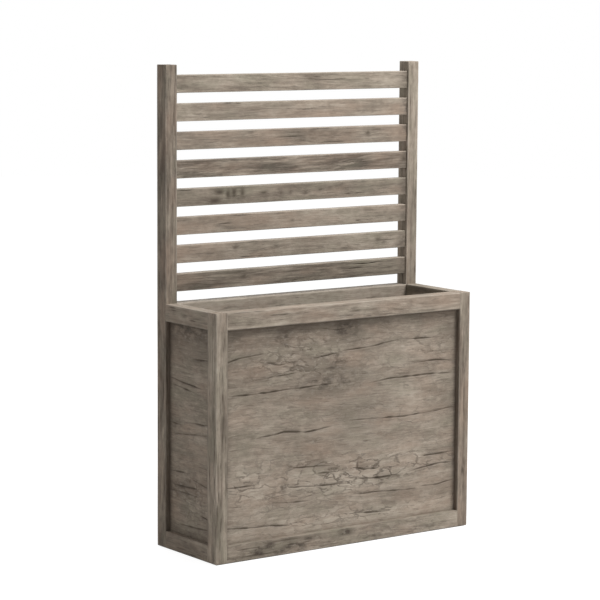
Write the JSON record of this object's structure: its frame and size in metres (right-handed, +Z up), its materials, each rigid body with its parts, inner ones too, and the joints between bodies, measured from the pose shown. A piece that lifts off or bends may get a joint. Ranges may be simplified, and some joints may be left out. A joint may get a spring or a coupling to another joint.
{
  "type": "divider planter",
  "caption": "Free-standing divider planter: a panelled timber trough whose tall back posts carry a screen of level slats, on adjustable feet.",
  "frame": {"origin": "on the floor under the middle of the object's bounding box", "axes": "+X to the right along the width, +Y towards the back, where the screen stands, +Z up"},
  "size_m": [0.914, 0.305, 1.391],
  "materials": {
    "weathered_wood": "weathered, matt",
    "inside_wood": "rough sawn, matt",
    "zinc_steel": "zinc plated",
    "nylon": "moulded, matt"
  },
  "bodies": {
    "frame": {"back_bottom_rail": "weathered_wood", "back_left_post": "weathered_wood", "back_panel": "weathered_wood", "back_right_post": "weathered_wood", "back_top_rail": "weathered_wood", "floor_ledger_back": "inside_wood", "floor_ledger_front": "inside_wood", "floor_slat_1": "inside_wood", "floor_slat_2": "inside_wood", "floor_slat_3": "inside_wood", "floor_slat_4": "inside_wood", "floor_slat_5": "inside_wood", "floor_slat_6": "inside_wood", "floor_slat_7": "inside_wood", "floor_slat_8": "inside_wood", "foot_inserts": "zinc_steel", "front_bottom_rail": "weathered_wood", "front_left_post": "weathered_wood", "front_panel": "weathered_wood", "front_right_post": "weathered_wood", "front_top_rail": "weathered_wood", "left_bottom_rail": "weathered_wood", "left_panel": "weathered_wood", "left_top_rail": "weathered_wood", "right_bottom_rail": "weathered_wood", "right_panel": "weathered_wood", "right_top_rail": "weathered_wood", "screen_slat_1": "weathered_wood", "screen_slat_2": "weathered_wood", "screen_slat_3": "weathered_wood", "screen_slat_4": "weathered_wood", "screen_slat_5": "weathered_wood", "screen_slat_6": "weathered_wood", "screen_slat_7": "weathered_wood", "screen_slat_8": "weathered_wood"},
    "foot_front_left": {"foot_pad_front_left": "nylon", "foot_stem_front_left": "zinc_steel"},
    "foot_back_left": {"foot_pad_back_left": "nylon", "foot_stem_back_left": "zinc_steel"},
    "foot_front_right": {"foot_pad_front_right": "nylon", "foot_stem_front_right": "zinc_steel"},
    "foot_back_right": {"foot_pad_back_right": "nylon", "foot_stem_back_right": "zinc_steel"}
  },
  "joints": [
    {"name": "foot_front_left_level", "type": "slide", "parent": "frame", "child": "foot_front_left", "axis": [0, 0, -1], "range_m": [0, 0.012]},
    {"name": "foot_back_left_level", "type": "slide", "parent": "frame", "child": "foot_back_left", "axis": [0, 0, -1], "range_m": [0, 0.012]},
    {"name": "foot_front_right_level", "type": "slide", "parent": "frame", "child": "foot_front_right", "axis": [0, 0, -1], "range_m": [0, 0.012]},
    {"name": "foot_back_right_level", "type": "slide", "parent": "frame", "child": "foot_back_right", "axis": [0, 0, -1], "range_m": [0, 0.012]}
  ]
}
